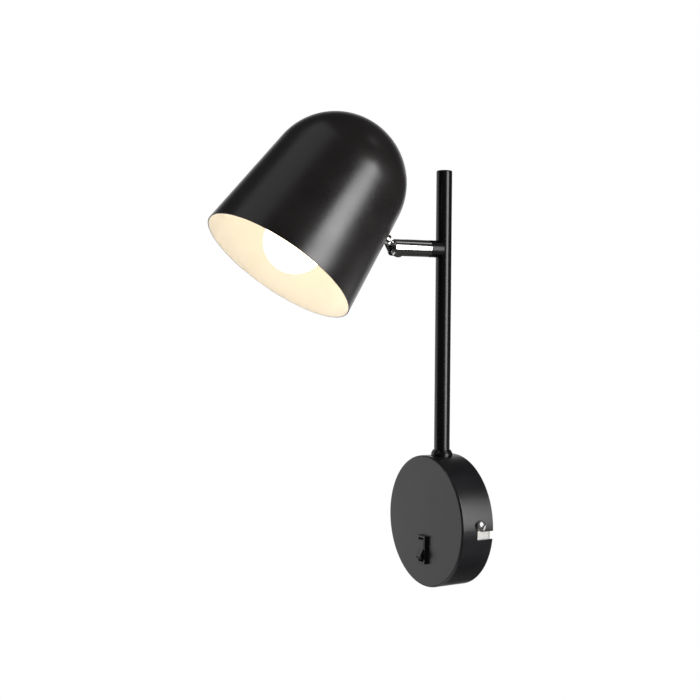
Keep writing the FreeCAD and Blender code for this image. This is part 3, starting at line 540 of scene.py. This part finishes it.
def make_bulb_cap():
    """Screw cap with its rolled round thread, a crimped collar and a shoulder."""
    pitch, groove, run_out = 2.82, 0.38, 1.2
    low, high = cap_start + 2.6, cap_end - 3.6

    def round_thread(angle, radius, height):
        if radius < cap_radius - 1:
            return radius
        fade = min(1, max(0, (height - low) / run_out), max(0, (high - height) / run_out))
        turn = 2 * math.pi * height / pitch - angle
        return radius - groove * fade * (0.5 - 0.5 * math.cos(turn))

    wall = [(cap_radius - 0.02, z) for z in steps_between(cap_start + 0.2, cap_end - 3.0, 72)]
    collar = [(cap_radius - 0.55, cap_start), (cap_radius - 0.15, cap_start)]
    shoulder = [(cap_radius - 0.6, cap_end - 2.4), (cap_radius - 2.0, cap_end - 0.5),
                (cap_radius - 2.4, cap_end), (cap_radius - 2.9, cap_end)]
    back = [(cap_radius - 2.9, cap_end - 0.5), (cap_radius - 1.2, cap_end - 2.9),
            (cap_radius - 0.8, cap_end - 3.6)]
    cap = lathe("bulb_screw_cap", collar + wall + shoulder + back, shade_frame(), closed=True,
                wave=round_thread)
    finish_piece(cap, "bulb", "lamp_cap", cap_nickel, "bulb_cap")


def threaded_tube(name, radius, bore, low, high, pitch, place):
    """Hollow threaded rod with bevelled ends."""
    bevel = 0.4
    steps = round((high - low) / pitch * 6)
    wall = [(radius, z) for z in steps_between(low + bevel, high - bevel, steps)]
    outline = [(bore, low), (radius - bevel, low)] + wall + [(radius - bevel, high), (bore, high)]
    groove = thread(pitch, pitch * 0.5, low, high)

    def wave(angle, r, height):
        return groove(angle, r, height) if r > radius - 0.1 else r

    return lathe(name, outline, place, count=64, closed=True, wave=wave)


def make_nipples():
    pitch = 1.0
    low, high = (corner.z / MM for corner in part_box("rod_nipple"))
    upright = Matrix.Translation((0, -rod_from_wall, 0))
    foot = threaded_tube("rod_nipple_thread", nipple_radius, nipple_bore, low, high, pitch, upright)
    finish_piece(foot, "root", "zinc", plated, "rod_nipple")
    holder_low, holder_high = 81.65, 96.7
    holder = threaded_tube("lampholder_nipple_thread", nipple_radius, nipple_bore,
                           holder_low, holder_high, pitch, shade_frame())
    finish_piece(holder, "head", "zinc", plated, "lampholder_nipple")


def make_rod_cap():
    """Plug on the rod's top with a softly rounded crown, and its spigot in the tube."""
    bottom, top = (corner.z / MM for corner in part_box("rod_cap"))
    radius, spigot, bevel, corner = 6.0, 4.95, 0.4, 1.3
    foot = top - 2.0
    outline = [(0, bottom), (spigot - bevel, bottom), (spigot, bottom + bevel), (spigot, foot),
               (radius - 0.1, foot), (radius, foot + 0.1)]
    outline += arc((radius - corner, top - 1.5), corner, 0, 60, 8)
    outline += [(radius - 1.9, top - 0.16), (radius - 3.4, top - 0.04), (0, top)]
    cap = lathe("rod_end_cap", outline, Matrix.Translation((0, -rod_from_wall, 0)))
    finish_piece(cap, "root", "satin_black", black_rod, "rod_cap")


def pan_head(name, radius, head_radius, head_height, length, recess, pitch, place):
    """Machine screw: domed head with a cross recess that narrows downwards, and a cut thread."""
    dome_rise = head_height * 0.55
    crown = (head_radius ** 2 + dome_rise ** 2) / (2 * dome_rise)
    span = math.degrees(math.asin((head_radius - 0.2) / crown))
    dome = arc((0, head_height - crown), crown, 90 - span, 90, 12)[:-1] + [(0, head_height)]
    steps = round(length / pitch * 6)
    shank = [(radius, z) for z in steps_between(-length + 0.4, -0.3, steps)]
    outline = [(0, -length), (radius - 0.4, -length)] + shank
    outline += [(radius, 0), (head_radius - 0.15, 0), (head_radius, 0.2),
                (head_radius, head_height - dome_rise)] + dome
    groove = thread(pitch, pitch * 0.45, -length, -0.6)

    def wave(angle, r, height):
        return groove(angle, r, height) if height < -0.2 and r > radius - 0.1 else r

    screw = lathe(name, outline, place, count=64, wave=wave)
    wide, narrow = recess / 2, recess * 0.28
    thick, thin = recess * 0.11, recess * 0.11 * 0.6
    top, bottom = head_height + 0.5, head_height * 0.35
    points = [(-narrow, -thin, bottom), (narrow, -thin, bottom),
              (narrow, thin, bottom), (-narrow, thin, bottom),
              (-wide, -thick, top), (wide, -thick, top), (wide, thick, top), (-wide, thick, top)]
    faces = [(0, 3, 2, 1), (4, 5, 6, 7), (0, 1, 5, 4), (1, 2, 6, 5), (2, 3, 7, 6), (3, 0, 4, 7)]
    for turn in (20, 110):
        blade_place = place @ Matrix.Rotation(math.radians(turn), 4, "Z")
        screw = cut(screw, mesh_piece("blade", points, faces, blade_place))
    return screw


def make_screws():
    """Side screws on both ends of the bracket, and the earth screw."""
    thread_radius, pitch, fit = 2.0, 0.7, 0.05
    depth, rise = 11.5, 3.0
    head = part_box("canopy_screws")[1].x / MM - canopy_radius
    sides = []
    for name, way in (("right", 1), ("left", -1)):
        place = standing((way, 0, 0), (way * (canopy_radius + fit), -depth, way * rise))
        sides.append(pan_head(name, thread_radius, 4.0, head, 8.0, 4.4, pitch, place))
    finish_piece(join("side_screws", sides), "root", "zinc", plated, "canopy_screws")
    low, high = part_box("earth_screw")
    centre = (low + high) / 2 / MM
    seat = 2.35
    earth = pan_head("earth_clamp_screw", thread_radius, 3.8, -low.y / MM - seat, 2.2, 3.8, pitch,
                     standing((0, -1, 0), (centre.x, -seat, 0)))
    finish_piece(earth, "root", "zinc", plated, "earth_screw")


def make_joint_cable():
    """Black cable from the barrel, under the tongue's eye and through the stem into the shade."""
    route = [(0, -40.8, 206.2), (0, -46.5, 205.7), (0, -50.0, 201.4), (0, -54.0, 200.4),
             neck_point(3.0, -6.0), neck_point(7.2, -5.2), neck_point(14.6, 0), neck_point(28.7, 0)]
    piece = cable("joint_flex", route, sheath_radius)
    piece.data.materials.append(black_pvc)
    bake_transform(piece)
    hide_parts("joint_cable")


def make_leads():
    """Leads inside the canopy, the rod and the shade."""
    block_top, tube_y = 8.0, -7.5
    inner_y, spindle_y, arm_z = -11.0, -39.4, pivot.z
    side = 1.25

    def up_the_rod(x):
        return [(x, inner_y, 29.0), (x, inner_y, 33), (x, inner_y, 60), (x, inner_y, 120),
                (x, inner_y, 180), (x, inner_y, 200), (x, inner_y - 0.4, arm_z - 1.8),
                (x, inner_y - 2.0, arm_z - 0.2), (x, inner_y - 7, arm_z), (x, inner_y - 18, arm_z),
                (x, spindle_y, arm_z)]

    def lead(name, route, slot, material, replaced):
        finish_piece(cable(name, route, core_radius), "root", slot, material, replaced)

    neutral = [(0, tube_y, block_top - 1), (0, tube_y, block_top + 4), (0, tube_y, block_top + 8),
               (-0.6, -9.5, 22)]
    lead("neutral_flex", neutral + up_the_rod(-side), "blue_lead", blue_pvc, "neutral_lead")
    blade_low, blade_high, y = -27.0, -16.0, -10.1
    switched = [(3.35, y, blade_low), (7, y, blade_low), (10.5, y, blade_low + 0.3),
                (14.5, y, -23.5), (16.8, y, -18.0), (16.8, y, -8), (16.8, y, 4), (16.6, y, 10),
                (14.5, y, 15.5), (8.5, -10.6, 21), (3.5, inner_y, 24.5)]
    lead("switched_flex", switched + up_the_rod(side), "brown_lead", brown_pvc, "switched_lead")
    live = [(8, tube_y, -7.0), (8, tube_y, -9.5), (8, -7.7, -11.5), (7.6, -8.8, -14),
            (6.4, y, -15.8), (4.6, y, blade_high), (2.45, y, blade_high)]
    lead("live_flex", live, "brown_lead", brown_pvc, "live_lead")
    earth_x = -18.4
    earth = [(-8, tube_y, block_top - 1), (-8, tube_y, block_top + 4),
             (-8.6, -7.3, block_top + 7.6), (-12, -6.0, block_top + 10.6),
             (-16.2, -4.8, block_top + 10.6),
             (earth_x + 0.1, -3.9, block_top + 7.4), (earth_x, -3.15, block_top + 4.4),
             (earth_x, -3.1, 10.45)]
    lead("earth_flex", earth, "earth_lead", earth_pvc, "earth_lead")
    place = shade_frame()
    head = [neck_point(28.75, 0), neck_point(33.7, 0),
            place @ Vector((0, 21.0, 83.5)), place @ Vector((0, 15.0, 83.8))]
    head = cable("head_flex", head, sheath_radius)
    finish_piece(head, "head", "black_cable", black_pvc, "head_cable")


make_shade()
make_bulb()
make_bulb_cap()
make_nipples()
make_rod_cap()
make_screws()
make_joint_cable()
make_leads()


# ---- Studio ----
def shader_tree(owner):
    """Empties an owner's node tree and gives functions that add a node and a link to it."""
    owner.use_nodes = True
    tree = owner.node_tree
    tree.nodes.clear()

    def node(kind, operation=None, **sockets):
        made = tree.nodes.new("ShaderNode" + kind)
        if operation:
            made.operation = operation
        for name, value in sockets.items():
            made.inputs[name].default_value = value
        return made

    def link(source, output, target, socket):
        tree.links.new(source.outputs[output], target.inputs[socket])

    return node, link


def smooth_range(node, start, end, low, high):
    """Node that eases from low to high while its value goes from start to end."""
    made = node("MapRange", **{"From Min": start, "From Max": end, "To Min": low, "To Max": high})
    made.interpolation_type = "SMOOTHSTEP"
    return made


def make_floor():
    """Pale round floor: white to the camera, with the lamp's shadow kept faintly in its middle."""
    radius, sides = 0.36, 64
    mesh = bpy.data.meshes.new("floor")
    angles = [2 * math.pi * i / sides for i in range(sides)]
    ring = [(radius * math.cos(a), radius * math.sin(a), 0) for a in angles]
    mesh.from_pydata(ring, [], [tuple(range(sides))])
    floor = add_object("floor", mesh)
    floor.location = (-0.12, -0.20, -0.35)
    material = bpy.data.materials.new("floor_white")
    node, link = shader_tree(material)
    place = node("TexCoord")
    flat = node("VectorMath", "MULTIPLY")
    flat.inputs[1].default_value = (1, 1, 0)
    distance = node("VectorMath", "LENGTH")
    middle, edge, share_in_middle = 0.10, 0.35, 0.7
    share = smooth_range(node, middle, edge, share_in_middle, 1.0)
    path = node("LightPath")
    seen = node("Math", "MULTIPLY")
    matt = node("BsdfDiffuse", Color=(0.85, 0.85, 0.85, 1))
    glow = node("Emission", Strength=1.0)
    mix = node("MixShader")
    out = node("OutputMaterial")
    link(place, "Object", flat, 0)
    link(flat, "Vector", distance, 0)
    link(distance, "Value", share, "Value")
    link(share, "Result", seen, 0)
    link(path, "Is Camera Ray", seen, 1)
    link(seen, "Value", mix, "Fac")
    link(matt, "BSDF", mix, 1)
    link(glow, "Emission", mix, 2)
    link(mix, "Shader", out, "Surface")
    mesh.materials.append(material)


def make_world():
    """White to the camera. The lamp has a bright sweep behind it and a dim room round it."""
    world = bpy.data.worlds.new("studio")
    bpy.context.scene.world = world
    node, link = shader_tree(world)
    place = node("TexCoord")
    behind = node("VectorMath", "DOT_PRODUCT")
    behind.inputs[1].default_value = (-0.8655, 0.4998, 0.0)
    outer, inner, dim_room = 0.80, 0.97, 0.05
    sweep = smooth_range(node, outer, inner, dim_room, 1.0)
    path = node("LightPath")
    room = node("Background", Color=(1, 1, 1, 1))
    ambient = node("Background", Color=(1, 1, 1, 1), Strength=0.40)
    white = node("Background", Color=(1, 1, 1, 1), Strength=1.0)
    soft, seen, out = node("MixShader"), node("MixShader"), node("OutputWorld")
    link(place, "Generated", behind, 0)
    link(behind, "Value", sweep, "Value")
    link(sweep, "Result", room, "Strength")
    link(path, "Is Diffuse Ray", soft, "Fac")
    link(room, "Background", soft, 1)
    link(ambient, "Background", soft, 2)
    link(path, "Is Camera Ray", seen, "Fac")
    link(soft, "Shader", seen, 1)
    link(white, "Background", seen, 2)
    link(seen, "Shader", out, "Surface")


def softbox(name, direction, distance, width, height, strength, aim=(0, -0.09, 0.12)):
    """Rectangular light at a distance from its aim; strength is its brightness, 1 being white."""
    light = bpy.data.lights.new(name, "AREA")
    light.shape = "RECTANGLE"
    light.size = width
    light.size_y = height
    light.energy = strength * math.pi * width * height
    holder = add_object(name, light)
    away = Vector(direction).normalized()
    holder.location = Vector(aim) + away * distance
    holder.rotation_mode = "QUATERNION"
    holder.rotation_quaternion = away.to_track_quat("Z", "Y")
    holder.visible_camera = False


def make_camera():
    """Camera fitted to the photograph's view of the lamp."""
    camera = bpy.data.cameras.new("camera")
    camera.sensor_width = 36.0
    camera.lens = 60.62
    holder = add_object("camera", camera)
    right = Vector((0.4999, 0.8661, 0.0066)).normalized()
    back = Vector((0.8655, -0.4998, 0.0336)).normalized()
    up = back.cross(right).normalized()
    turn = Matrix((right, up, back)).transposed().to_4x4()
    holder.matrix_world = Matrix.Translation((0.74463, -0.52387, 0.16003)) @ turn
    bpy.context.scene.camera = holder


make_floor()
make_world()
softbox("key_right", (0.934, 0.358, 0.07), 0.85, 0.41, 0.76, 6.3, aim=(0, -0.012, 0.207))
softbox("panel_left", (-0.819, -0.574, 0.0), 1.0, 1.0, 1.0, 0.91, aim=(0, -0.03, 0.05))
softbox("ceiling_left", (-0.10, -0.45, 0.90), 1.1, 0.8, 0.8, 0.36, aim=(0, -0.05, 0.15))
softbox("strip_top", (0.25, 0.54, 0.80), 0.9, 0.16, 0.16, 0.5, aim=(0, -0.04, 0.21))
softbox("fill_back", (0.10, 0.88, -0.45), 1.2, 0.9, 0.6, 1.3)
make_camera()
bpy.context.scene.view_settings.view_transform = "Standard"
